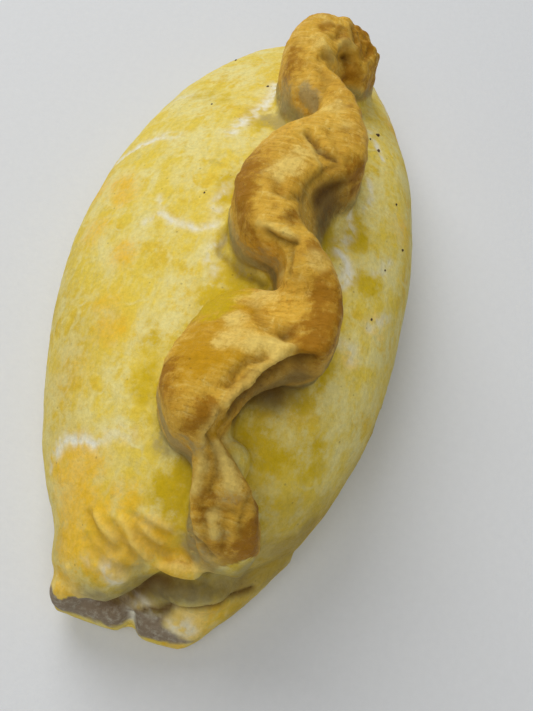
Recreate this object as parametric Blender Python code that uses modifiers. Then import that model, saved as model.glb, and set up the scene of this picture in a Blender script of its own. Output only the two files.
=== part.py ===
"""A hand-made Cornish pasty: one solid of baked shortcrust with a crimped seam standing along its top.

The pasty lies on its flat base along X. The near end, at -X, is a pressed tongue of dough. The seam runs
nearer to the -Y flank, and +Z is up. Sizes are in millimetres until MM turns them into metres.
"""

import math

import bmesh
import bpy
import numpy as np
from mathutils import Vector, noise

MM = 0.001

# The filled case along X: how far each flank reaches, how high the back is, how high the widest line lies,
# where the underside is before the base is cut flat, and how far the back leans towards the seam.
NEAR_END, FAR_END = -87.3, 93.0
LEFT_FLANK = [(-87.3, 11.0), (-84, 15.5), (-76, 18.6), (-66, 25.0), (-50, 31.8), (-30, 37.4), (-8, 41.0),
              (12, 40.4), (34, 36.9), (54, 31.8), (70, 25.0), (82, 18.0), (89, 11.5), (92, 7.0), (93, 3.5)]
RIGHT_FLANK = [(-87.3, -9.5), (-84, -17.0), (-76, -24.5), (-66, -31.0), (-50, -38.2), (-30, -42.0),
               (-10, -42.6), (14, -40.8), (36, -36.0), (54, -29.8), (68, -24.9), (80, -19.6), (88, -14.5),
               (92, -9.5), (93, -6.0)]
BACK = [(-87.3, 20.0), (-84.5, 25.5), (-79, 30.5), (-70, 34.5), (-58, 38.8), (-42, 42.5), (-20, 44.5),
        (4, 44.0), (24, 40.5), (42, 35.0), (58, 28.8), (72, 22.2), (83, 16.0), (90, 11.0), (93, 7.0)]
WIDEST = [(-87.3, 13.0), (-78, 14.0), (-60, 16.0), (-30, 18.0), (20, 17.5), (60, 13.0), (80, 8.5), (93, 5.5)]
UNDERSIDE = [(-87.3, 8.0), (-84, 4.0), (-76, -1.2), (-60, -2.0), (60, -2.0), (80, -1.2), (88, 1.0),
             (93, 4.0)]
BACK_LEAN = [(-87.3, 0.0), (-70, -3.0), (-40, -11.0), (0, -11.0), (40, -9.0), (70, -3.0), (93, 0.0)]

# The roundness of a section, where 1 is an ellipse and less is squarer: across, then above and below its
# widest line.
CASE_POWERS = 0.92, 0.95, 0.6
TONGUE_POWERS = 0.75, 0.6, 0.6
# The share of the length of the ball that is gathered into each end face.
END_SHARE = 0.055

# How far the right side of the near end is set back, the length and width over which that grows, and how far
# to the left its middle lies.
SET_BACK = 8.5
SET_BACK_LENGTH = 22.0
SET_BACK_WIDTH = 11.0
SET_BACK_MIDDLE = -2.5

# The pressed tongue of dough under the near end, in the same terms.
TONGUE_NEAR, TONGUE_FAR = -90.5, -66.0
TONGUE_LEFT = [(-90.5, 14.5), (-89, 15.8), (-84, 15.0), (-66, 21.0)]
TONGUE_RIGHT = [(-90.5, -13.5), (-89, -15.6), (-84, -20.0), (-76, -26.0), (-66, -32.0)]
TONGUE_TOP = [(-90.5, 7.0), (-89, 11.0), (-87, 13.0), (-84, 13.5), (-66, 18.0)]
TONGUE_WIDEST = [(-90.5, 4.5), (-84, 6.0), (-66, 10.0)]
TONGUE_UNDER = [(-90.5, 2.5), (-86, 1.0), (-78, -1.5), (-66, -2.0)]
TONGUE_LEAN = [(-90.5, 0.0), (-66, 0.0)]

# Small rolls of dough: middle, then half sizes. The last three carry the seam down to the far end.
ROLLS = [
    ((-76.3, -12, 10), (8.2, 10.5, 11.0)),
    ((-78.3, -9.4, 26.2), (1.5, 5.4, 1.6)),
    ((-86.0, 12.4, 10.5), (4.6, 3.9, 7.5)),
    ((-59.5, -13.5, 42), (4.5, 4.5, 6.0)),
    ((64, -5, 30.5), (8.5, 7.5, 9.0)),
    ((74, -4, 22.5), (8.0, 7.0, 9.0)),
    ((83, -2.5, 15.5), (7.5, 6.5, 7.5)),
]

# The crimped seam, from the far end to the near one. Each bend gives the left edge of its top, then the
# right edge, as x, y, z.
SEAM = [
    (57.5, -19.5, 41, 49, -17.5, 41), (61, -16, 45, 47.5, -15.5, 46), (62.5, -7, 49, 46, -12, 50),
    (60, 0, 50, 42, -10.5, 52), (53.5, 3.5, 50, 39, -9, 53), (42, 3.5, 50, 37, -9.5, 53.5),
    (31.5, -0.5, 51, 35.5, -12, 54.5), (25.5, -8.5, 53.5, 30, -15.5, 56.5),
    (19.5, -8, 56.5, 16.5, -22, 58.5), (16.5, -5.5, 57.5, 7, -23, 60.5), (6.5, 0, 58.5, -1.5, -15.5, 62.5),
    (-9, 1, 61.5, -10, -13, 64), (-19, -4.5, 63.5, -15, -14.5, 64.5), (-23.5, -13.5, 64.5, -21, -20, 64.5),
    (-27.5, -14.5, 63.5, -25.5, -24, 64.5), (-28, -13, 58, -33, -26.5, 64.5),
    (-26.5, -8, 54, -40.5, -26.5, 64.5), (-30, -1, 52, -44, -20.5, 65), (-39, 1.5, 54, -47.5, -16.5, 65),
    (-48, 2.5, 57.5, -53, -13.5, 64.5), (-55, 1, 60.5, -56, -11.5, 63), (-60.5, -3, 60, -58.5, -10, 61.5),
    (-61.8, -7.8, 57, -59.3, -11.6, 55), (-63.7, -8, 53.5, -60.8, -14.5, 52.5),
    (-67.8, -8.6, 50, -64.8, -20, 49.5), (-73, -9.8, 46, -70, -23, 44.5), (-77, -14, 34, -76.5, -21.5, 31),
]
# How far the feet of the walls lean out from the edges above them: the number of the bend, then the left
# foot's and the right foot's shifts in x and y.
SEAM_FOOT = [
    (0, 0, 0, 0, 0), (8, 0, 0, 0, 0), (9, 0, 0, 1, -1), (10, 0, 0, 3, -7.5), (11, 0, 0.5, 6, -9),
    (12, 3.8, 1, 8, -7), (13, 7.9, 3.9, 4, -2), (14, 6, 2, 0, 0), (15, 1, 0, 3, 0), (16, 0, 0, 3.5, 2),
    (17, 0, 0, 2, 0.5), (18, 3.3, 1.8, 2.5, 0.5), (19, 1.3, 2.1, 5, 1), (20, 3.2, 2.3, 2, -1),
    (21, 4.1, 2.5, 0, 0), (22, 1, 0, 0, 0), (26, 0, 0, 0, 0),
]
# How far the seam's foot lies below the back, how far it spreads there, and how deep its rounded cap is.
SEAM_ROOT = 7.0
SEAM_SPREAD = 2.0
SEAM_CAP = 5.0
# The roundness of its crest, cap and walls, how fast the foot spreads, and the share gathered into an end.
CREST_POWER, CAP_POWER, WALL_POWER, SPREAD_POWER = 0.8, 0.8, 0.3, 1.2
SEAM_END_SHARE = 0.02

# Creases and pits pressed into the dough: the points each one runs through, its width and its depth.
CREASES = [
    ([(47, -11.5, 48)], 2.5, 3.0),
    ([(8, -9.5, 60), (4, -13, 61), (1, -16.5, 60.5)], 2.0, 1.6),
    ([(-55, -9, 62.5), (-50.5, -12, 63), (-45.5, -16, 63)], 2.2, 1.3),
    ([(-40, -18.5, 62)], 2.0, 1.6),
    ([(-61, -10.5, 55), (-66, -13, 51), (-72, -16, 46)], 2.0, 1.0),
    ([(-64, -7.5, 44), (-73, -9.5, 39), (-77, -11, 32)], 2.5, 1.5),
    ([(-86.5, 4, 14), (-85, -1, 15), (-83, -4, 17), (-81, -7, 20), (-79.2, -11, 21.5),
      (-77, -22, 18)], 2.0, 2.2),
    ([(-84.5, -5, 14.5), (-84, -9, 13.5), (-82.5, -14, 12), (-80, -19, 10)], 1.8, 1.2),
    ([(-90.5, -2.2, 3), (-88, -2.2, 15)], 1.8, 2.8),
    ([(-42, -23, 58), (-45, -18, 58), (-48.5, -15, 57), (-52, -12.5, 56)], 2.6, 2.4),
    ([(-44, -17.5, 45), (-47, -15, 46), (-50, -12.5, 47)], 3.0, 2.5),
]

# The torn far corner of the seam: middle, reach, and the size and height of its crags.
TORN = (57, -14, 48)
TORN_REACH = 13.0
CRAG_SIZE, CRAG_HEIGHT = 4.0, 1.4
# The slow swells of hand-shaped dough all over.
SWELL_SIZE, SWELL_HEIGHT = 22.0, 0.5

# Sides round and steps along each ball before it is drawn out.
LOAF_SIDES, LOAF_STEPS = 96, 90
SEAM_SIDES, SEAM_STEPS = 48, 240
ROLL_SIDES, ROLL_STEPS = 32, 24

SKIN_STEP = 1.2
SKIN_SMOOTHING, SKIN_PASSES = 0.5, 6
TRIANGLES = 9000
CUTTER_SIDE = 0.3

CRUST_COLOR = (0.66, 0.50, 0.18, 1.0)
CRUST_ROUGHNESS = 0.6


def smooth_curve(stations, x):
    """Values at x of the cubic curve through the stations, with the slopes that their neighbours give."""
    knots = np.array([station[0] for station in stations], float)
    values = np.array([station[1:] for station in stations], float)
    slopes = np.gradient(values, knots, axis=0)
    i = np.clip(np.searchsorted(knots, x) - 1, 0, len(knots) - 2)
    span = (knots[i + 1] - knots[i])[:, None]
    t = np.clip((x - knots[i])[:, None] / span, 0, 1)
    curve = (
        values[i] * (1 + 2 * t) * (1 - t) ** 2
        + values[i + 1] * (3 - 2 * t) * t**2
        + span * (slopes[i] * t * (1 - t) ** 2 - slopes[i + 1] * t**2 * (1 - t))
    )
    return curve[:, 0] if curve.shape[1] == 1 else curve


def signed_power(base, exponent):
    return np.sign(base) * np.abs(base) ** exponent


def ball(name, sides, steps):
    """A unit ball whose poles lie on X, to be drawn out into a long shape."""
    bpy.ops.mesh.primitive_uv_sphere_add(segments=sides, ring_count=steps, rotation=(0, math.pi / 2, 0))
    made = bpy.context.object
    made.name = name
    bpy.ops.object.transform_apply(rotation=True)
    return made


def points_of(mesh):
    points = np.empty(len(mesh.vertices) * 3)
    mesh.vertices.foreach_get("co", points)
    return points.reshape(-1, 3)


def set_points(mesh, points):
    mesh.vertices.foreach_set("co", points.astype(np.float32).ravel())
    mesh.update()


def stations_of(points, end_share):
    """For each point of a unit ball: its place along the shape, 0 to 1, how far it is from the middle of an
    end face, 0 to 1, and its direction across."""
    along = 1 - np.arccos(np.clip(points[:, 0], -1, 1)) / math.pi
    end_fill = np.clip(np.minimum(along, 1 - along) / end_share, 0, 1)
    across = np.arctan2(points[:, 2], points[:, 1])
    return np.clip((along - end_share) / (1 - 2 * end_share), 0, 1), end_fill, across


def loaf(name, near, far, left, right, top, widest, bottom, lean, powers):
    """A long plump shape, flattened below and cut across at both ends."""
    made = ball(name, LOAF_SIDES, LOAF_STEPS)
    along, end_fill, across = stations_of(points_of(made.data), END_SHARE)
    x = near + (far - near) * along
    left, right = smooth_curve(left, x), smooth_curve(right, x)
    top, widest, bottom = smooth_curve(top, x), smooth_curve(widest, x), smooth_curve(bottom, x)
    side, up = np.cos(across), np.sin(across)
    y = (left + right) / 2 + (left - right) / 2 * signed_power(side, powers[0]) * end_fill
    above = (top - widest) * np.abs(up) ** powers[1]
    below = (bottom - widest) * np.abs(up) ** powers[2]
    z = widest + np.where(up > 0, above, below) * end_fill
    upper = np.clip((z - widest) / (top - widest), 0, 1)
    y += smooth_curve(lean, x) * upper**2
    set_points(made.data, np.stack([x, y, z], 1) * MM)
    return made


def case():
    """The filled case, with the right side of its near end set back above the tongue."""
    made = loaf("case", NEAR_END, FAR_END, LEFT_FLANK, RIGHT_FLANK, BACK, WIDEST, UNDERSIDE, BACK_LEAN,
                CASE_POWERS)
    points = points_of(made.data) / MM
    nearness = np.clip((NEAR_END + SET_BACK_LENGTH - points[:, 0]) / SET_BACK_LENGTH, 0, 1)
    rightness = np.clip(0.5 - (points[:, 1] - SET_BACK_MIDDLE) / SET_BACK_WIDTH, 0, 1)
    points[:, 0] += SET_BACK * nearness * rightness
    set_points(made.data, points * MM)
    return made


def tongue():
    return loaf("tongue", TONGUE_NEAR, TONGUE_FAR, TONGUE_LEFT, TONGUE_RIGHT, TONGUE_TOP, TONGUE_WIDEST,
                TONGUE_UNDER, TONGUE_LEAN, TONGUE_POWERS)


def roll(middle, half_sizes):
    made = ball("roll", ROLL_SIDES, ROLL_STEPS)
    set_points(made.data, (points_of(made.data) * half_sizes + middle) * MM)
    return made


def seam():
    """The standing seam: a wall with a rounded cap that zigzags along the back and spreads at its foot."""
    made = ball("seam", SEAM_SIDES, SEAM_STEPS)
    along, end_fill, across = stations_of(points_of(made.data), SEAM_END_SHARE)
    bends = np.array(SEAM, float)
    middles = (bends[:, :3] + bends[:, 3:]) / 2
    steps = np.linalg.norm(np.diff(middles, axis=0), axis=1)
    reach = np.concatenate([[0], np.cumsum(steps)])
    edges = smooth_curve([(r, *bend) for r, bend in zip(reach, bends)], along * reach[-1])
    left, right = edges[:, :3], edges[:, 3:]
    middle, half = (left + right) / 2, (left - right) / 2
    width = np.linalg.norm(half[:, :2], axis=1)
    side, up = np.cos(across), np.sin(across)
    rise, fall = np.clip(up, 0, 1), np.clip(-up, 0, 1)
    spread = 1 + SEAM_SPREAD / width * fall**SPREAD_POWER
    offset = np.where(up > 0, signed_power(side, CREST_POWER), signed_power(side, WALL_POWER))
    offset *= end_fill * spread
    crest = middle[:, 2] + half[:, 2] * np.clip(offset, -1, 1)
    shoulder = crest + np.minimum(SEAM_CAP, width) * (rise**CAP_POWER * end_fill - 1)
    root = smooth_curve(BACK, middle[:, 0]) - SEAM_ROOT
    feet = smooth_curve(SEAM_FOOT, np.interp(along * reach[-1], reach, np.arange(len(bends))))
    leftness = (1 + np.clip(offset, -1, 1))[:, None] / 2
    lean = (feet[:, :2] * leftness + feet[:, 2:] * (1 - leftness)) * fall[:, None] ** SPREAD_POWER
    x = middle[:, 0] + half[:, 0] * offset + lean[:, 0]
    y = middle[:, 1] + half[:, 1] * offset + lean[:, 1]
    z = shoulder + (root - shoulder) * fall
    set_points(made.data, np.stack([x, y, z], 1) * MM)
    return made


def evaluated(made):
    """Applies the object's modifiers to its mesh."""
    bpy.context.view_layer.update()
    graph = bpy.context.evaluated_depsgraph_get()
    mesh = bpy.data.meshes.new_from_object(made.evaluated_get(graph))
    old = made.data
    made.modifiers.clear()
    made.data = mesh
    mesh.name = made.name
    bpy.data.meshes.remove(old)


def skinned(name, pieces):
    """One closed skin round all the pieces, with the joints between them rounded."""
    union = bmesh.new()
    for piece in pieces:
        union.from_mesh(piece.data)
        bpy.data.objects.remove(piece)
    mesh = bpy.data.meshes.new(name)
    union.to_mesh(mesh)
    union.free()
    made = bpy.data.objects.new(name, mesh)
    bpy.context.scene.collection.objects.link(made)
    skin = made.modifiers.new("skin", "REMESH")
    skin.mode = "VOXEL"
    skin.voxel_size = SKIN_STEP * MM
    soften = made.modifiers.new("soften", "SMOOTH")
    soften.factor = SKIN_SMOOTHING
    soften.iterations = SKIN_PASSES
    evaluated(made)
    return made


def distance_to(path, points):
    """Distance from each point to the nearest place on a path of straight lines."""
    nearest = np.full(len(points), np.inf)
    for start, end in zip(path, path[1:] or path):
        start, line = np.array(start, float), np.array(end, float) - start
        share = np.clip((points - start) @ line / max(line @ line, 1e-9), 0, 1)
        nearest = np.minimum(nearest, np.linalg.norm(points - start - share[:, None] * line, axis=1))
    return nearest


def noise_at(points, size):
    return np.array([noise.noise(Vector(point)) for point in points / size])


def worked(mesh):
    """Presses the creases in, and raises the crags and the slow swells of hand-shaped dough."""
    points = points_of(mesh) / MM
    normals = np.empty(len(mesh.vertices) * 3)
    mesh.vertex_normals.foreach_get("vector", normals)
    normals = normals.reshape(-1, 3)
    lift = SWELL_HEIGHT * noise_at(points, SWELL_SIZE)
    for path, width, depth in CREASES:
        lift -= depth * np.exp(-((distance_to(path, points) / width) ** 2))
    torn = np.exp(-((np.linalg.norm(points - TORN, axis=1) / TORN_REACH) ** 4))
    lift += CRAG_HEIGHT * torn * noise_at(points, CRAG_SIZE)
    set_points(mesh, (points + normals * lift[:, None]) * MM)


def cut_flat(made, cutters):
    """Cuts the underside off flat at z = 0."""
    bpy.ops.mesh.primitive_cube_add(size=CUTTER_SIDE, location=(0, 0, -CUTTER_SIDE / 2))
    below = bpy.context.object
    below.name = "below_base"
    for owner in list(below.users_collection):
        owner.objects.unlink(below)
    cutters.objects.link(below)
    below.hide_render = True
    below.display_type = "WIRE"
    flat = made.modifiers.new("flat_base", "BOOLEAN")
    flat.operation = "DIFFERENCE"
    flat.solver = "EXACT"
    flat.object = below


def crust_material():
    crust = bpy.data.materials.new("crust")
    crust.use_nodes = True
    shader = crust.node_tree.nodes["Principled BSDF"]
    shader.inputs["Base Color"].default_value = CRUST_COLOR
    shader.inputs["Roughness"].default_value = CRUST_ROUGHNESS
    shader.inputs["Metallic"].default_value = 0.0
    return crust


def main():
    for old in list(bpy.data.objects):
        bpy.data.objects.remove(old)
    home = bpy.data.collections.new("cornish_pasty")
    cutters = bpy.data.collections.new("cutters")
    for made in (home, cutters):
        bpy.context.scene.collection.children.link(made)
    pieces = [case(), seam(), tongue(), *(roll(middle, half_sizes) for middle, half_sizes in ROLLS)]
    pasty = skinned("pasty", pieces)
    bpy.context.scene.collection.objects.unlink(pasty)
    home.objects.link(pasty)
    worked(pasty.data)
    thin = pasty.modifiers.new("thin", "DECIMATE")
    thin.ratio = TRIANGLES / (2 * len(pasty.data.polygons))
    evaluated(pasty)
    points = points_of(pasty.data)
    points[:, :2] -= (points.min(axis=0) + points.max(axis=0))[:2] / 2
    set_points(pasty.data, points)
    pasty.data.shade_smooth()
    pasty.data.materials.append(crust_material())
    cut_flat(pasty, cutters)


main()
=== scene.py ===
"""The looks of a hand-made Cornish pasty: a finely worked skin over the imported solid, its baked crust
material, the small specks on it, a pale floor, soft light and the camera."""

import math

import bmesh
import bpy
import numpy as np
from mathutils import Matrix, Vector, noise
from mathutils.bvhtree import BVHTree
from mathutils.kdtree import KDTree


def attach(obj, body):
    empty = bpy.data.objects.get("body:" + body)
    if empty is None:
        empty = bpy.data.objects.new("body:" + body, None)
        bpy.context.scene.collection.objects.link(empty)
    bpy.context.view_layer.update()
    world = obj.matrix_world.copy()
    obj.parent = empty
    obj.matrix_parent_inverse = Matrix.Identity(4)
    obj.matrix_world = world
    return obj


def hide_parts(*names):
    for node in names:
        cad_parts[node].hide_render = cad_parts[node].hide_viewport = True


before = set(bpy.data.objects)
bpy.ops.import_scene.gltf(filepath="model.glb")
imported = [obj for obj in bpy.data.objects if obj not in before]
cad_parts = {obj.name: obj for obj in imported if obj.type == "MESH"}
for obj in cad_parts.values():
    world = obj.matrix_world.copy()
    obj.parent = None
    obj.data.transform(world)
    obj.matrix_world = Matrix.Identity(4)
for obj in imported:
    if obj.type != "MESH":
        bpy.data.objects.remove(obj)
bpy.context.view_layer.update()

MM = 0.001

# The filled case along X: how far each flank reaches, how high the back is, how high the widest line lies,
# where the underside is before the base is cut flat, and how far the back leans towards the seam.
NEAR_END, FAR_END = -87.3, 93.0
LEFT_FLANK = [(-87.3, 11.0), (-84, 15.5), (-76, 18.6), (-66, 25.0), (-50, 31.8), (-30, 37.4), (-8, 41.0),
              (12, 40.4), (34, 36.9), (54, 31.8), (70, 25.0), (82, 18.0), (89, 11.5), (92, 7.0), (93, 3.5)]
RIGHT_FLANK = [(-87.3, -9.5), (-84, -17.0), (-76, -24.5), (-66, -31.0), (-50, -38.2), (-30, -42.0),
               (-10, -42.6), (14, -40.8), (36, -36.0), (54, -29.8), (68, -24.9), (80, -19.6), (88, -14.5),
               (92, -9.5), (93, -6.0)]
BACK = [(-87.3, 20.0), (-84.5, 25.5), (-79, 30.5), (-70, 34.5), (-58, 38.8), (-42, 42.5), (-20, 44.5),
        (4, 44.0), (24, 40.5), (42, 35.0), (58, 28.8), (72, 22.2), (83, 16.0), (90, 11.0), (93, 7.0)]
WIDEST = [(-87.3, 13.0), (-78, 14.0), (-60, 16.0), (-30, 18.0), (20, 17.5), (60, 13.0), (80, 8.5), (93, 5.5)]
UNDERSIDE = [(-87.3, 8.0), (-84, 4.0), (-76, -1.2), (-60, -2.0), (60, -2.0), (80, -1.2), (88, 1.0),
             (93, 4.0)]
BACK_LEAN = [(-87.3, 0.0), (-70, -3.0), (-40, -11.0), (0, -11.0), (40, -9.0), (70, -3.0), (93, 0.0)]

# The roundness of a section, where 1 is an ellipse and less is squarer: across, then above and below its
# widest line.
CASE_POWERS = 0.92, 0.95, 0.6
TONGUE_POWERS = 0.75, 0.6, 0.6
# The share of the length of the ball that is gathered into each end face.
END_SHARE = 0.055

# How far the right side of the near end is set back, the length and width over which that grows, and how far
# to the left its middle lies.
SET_BACK = 8.5
SET_BACK_LENGTH = 22.0
SET_BACK_WIDTH = 11.0
SET_BACK_MIDDLE = -2.5

# The pressed tongue of dough under the near end, in the same terms.
TONGUE_NEAR, TONGUE_FAR = -90.5, -66.0
TONGUE_LEFT = [(-90.5, 14.5), (-89, 15.8), (-84, 15.0), (-66, 21.0)]
TONGUE_RIGHT = [(-90.5, -13.5), (-89, -15.6), (-84, -20.0), (-76, -26.0), (-66, -32.0)]
TONGUE_TOP = [(-90.5, 7.0), (-89, 11.0), (-87, 13.0), (-84, 13.5), (-66, 18.0)]
TONGUE_WIDEST = [(-90.5, 4.5), (-84, 6.0), (-66, 10.0)]
TONGUE_UNDER = [(-90.5, 2.5), (-86, 1.0), (-78, -1.5), (-66, -2.0)]
TONGUE_LEAN = [(-90.5, 0.0), (-66, 0.0)]

# Small rolls of dough: middle, then half sizes. The last three carry the seam down to the far end.
ROLLS = [
    ((-76.3, -12, 10), (8.2, 10.5, 11.0)),
    ((-78.3, -9.4, 26.2), (1.5, 5.4, 1.6)),
    ((-86.0, 12.4, 10.5), (4.6, 3.9, 7.5)),
    ((-59.5, -13.5, 42), (4.5, 4.5, 6.0)),
    ((64, -5, 30.5), (8.5, 7.5, 9.0)),
    ((74, -4, 22.5), (8.0, 7.0, 9.0)),
    ((83, -2.5, 15.5), (7.5, 6.5, 7.5)),
]

# The crimped seam, from the far end to the near one. Each bend gives the left edge of its top, then the
# right edge, as x, y, z.
SEAM = [
    (57.5, -19.5, 41, 49, -17.5, 41), (61, -16, 45, 47.5, -15.5, 46), (62.5, -7, 49, 46, -12, 50),
    (60, 0, 50, 42, -10.5, 52), (53.5, 3.5, 50, 39, -9, 53), (42, 3.5, 50, 37, -9.5, 53.5),
    (31.5, -0.5, 51, 35.5, -12, 54.5), (25.5, -8.5, 53.5, 30, -15.5, 56.5),
    (19.5, -8, 56.5, 16.5, -22, 58.5), (16.5, -5.5, 57.5, 7, -23, 60.5), (6.5, 0, 58.5, -1.5, -15.5, 62.5),
    (-9, 1, 61.5, -10, -13, 64), (-19, -4.5, 63.5, -15, -14.5, 64.5), (-23.5, -13.5, 64.5, -21, -20, 64.5),
    (-27.5, -14.5, 63.5, -25.5, -24, 64.5), (-28, -13, 58, -33, -26.5, 64.5),
    (-26.5, -8, 54, -40.5, -26.5, 64.5), (-30, -1, 52, -44, -20.5, 65), (-39, 1.5, 54, -47.5, -16.5, 65),
    (-48, 2.5, 57.5, -53, -13.5, 64.5), (-55, 1, 60.5, -56, -11.5, 63), (-60.5, -3, 60, -58.5, -10, 61.5),
    (-61.8, -7.8, 57, -59.3, -11.6, 55), (-63.7, -8, 53.5, -60.8, -14.5, 52.5),
    (-67.8, -8.6, 50, -64.8, -20, 49.5), (-73, -9.8, 46, -70, -23, 44.5), (-77, -14, 34, -76.5, -21.5, 31),
]
# How far the feet of the walls lean out from the edges above them: the number of the bend, then the left
# foot's and the right foot's shifts in x and y.
SEAM_FOOT = [
    (0, 0, 0, 0, 0), (8, 0, 0, 0, 0), (9, 0, 0, 1, -1), (10, 0, 0, 3, -7.5), (11, 0, 0.5, 6, -9),
    (12, 3.8, 1, 8, -7), (13, 7.9, 3.9, 4, -2), (14, 6, 2, 0, 0), (15, 1, 0, 3, 0), (16, 0, 0, 3.5, 2),
    (17, 0, 0, 2, 0.5), (18, 3.3, 1.8, 2.5, 0.5), (19, 1.3, 2.1, 5, 1), (20, 3.2, 2.3, 2, -1),
    (21, 4.1, 2.5, 0, 0), (22, 1, 0, 0, 0), (26, 0, 0, 0, 0),
]
# How far the seam's foot lies below the back, how far it spreads there, and how deep its rounded cap is.
SEAM_ROOT = 7.0
SEAM_SPREAD = 2.0
SEAM_CAP = 5.0
# The roundness of its crest, cap and walls, how fast the foot spreads, and the share gathered into an end.
CREST_POWER, CAP_POWER, WALL_POWER, SPREAD_POWER = 0.8, 0.8, 0.3, 1.2
SEAM_END_SHARE = 0.02

# Creases and pits pressed into the dough: the points each one runs through, its width and its depth.
CREASES = [
    ([(47, -11.5, 48)], 2.5, 3.0),
    ([(8, -9.5, 60), (4, -13, 61), (1, -16.5, 60.5)], 2.0, 1.6),
    ([(-55, -9, 62.5), (-50.5, -12, 63), (-45.5, -16, 63)], 2.2, 1.3),
    ([(-40, -18.5, 62)], 2.0, 1.6),
    ([(-61, -10.5, 55), (-66, -13, 51), (-72, -16, 46)], 2.0, 1.0),
    ([(-64, -7.5, 44), (-73, -9.5, 39), (-77, -11, 32)], 2.5, 1.5),
    ([(-86.5, 4, 14), (-85, -1, 15), (-83, -4, 17), (-81, -7, 20), (-79.2, -11, 21.5),
      (-77, -22, 18)], 2.0, 2.2),
    ([(-84.5, -5, 14.5), (-84, -9, 13.5), (-82.5, -14, 12), (-80, -19, 10)], 1.8, 1.2),
    ([(-90.5, -2.2, 3), (-88, -2.2, 15)], 1.8, 2.8),
    ([(-42, -23, 58), (-45, -18, 58), (-48.5, -15, 57), (-52, -12.5, 56)], 2.6, 2.4),
    ([(-44, -17.5, 45), (-47, -15, 46), (-50, -12.5, 47)], 3.0, 2.5),
]

# The torn far corner of the seam: middle, reach, and the size and height of its crags.
TORN = (57, -14, 48)
TORN_REACH = 13.0
CRAG_SIZE, CRAG_HEIGHT = 4.0, 1.4
# Its finer crags and its thin flakes, in the same terms.
SPLINTER_SIZE, SPLINTER_HEIGHT = 1.7, 0.7
FLAKE_SIZE, FLAKE_HEIGHT = 2.6, 0.8
# The slow swells of hand-shaped dough all over.
SWELL_SIZE, SWELL_HEIGHT = 22.0, 0.5
# The grain of the dough: size and height. The seam has the crisp one and the leaves, and the rest the coarse.
CRISP_SIZE, CRISP_HEIGHT = 0.9, 0.12
FINE_SIZE, FINE_HEIGHT = 1.6, 0.10
COARSE_SIZE, COARSE_HEIGHT = 7.0, 0.20
LEAF_SIZE, LEAF_HEIGHT = 3.2, 0.45
# How far lines and patches on the skin are pushed aside, so that they wander, and over what size.
BEND, BEND_SIZE = 0.8, 5.0

LOAF_SIDES, LOAF_STEPS = 192, 180
SEAM_SIDES, SEAM_STEPS = 96, 480
ROLL_SIDES, ROLL_STEPS = 64, 48
SKIN_STEP = 0.7
PATH_STEP = 1.5
# A height over the whole pasty, in metres, to look down from.
OVERHEAD = 0.2
SKIN_SMOOTHING, SKIN_PASSES = 0.5, 12

# Finer work on the skin, which the solid leaves out, follows.

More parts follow.
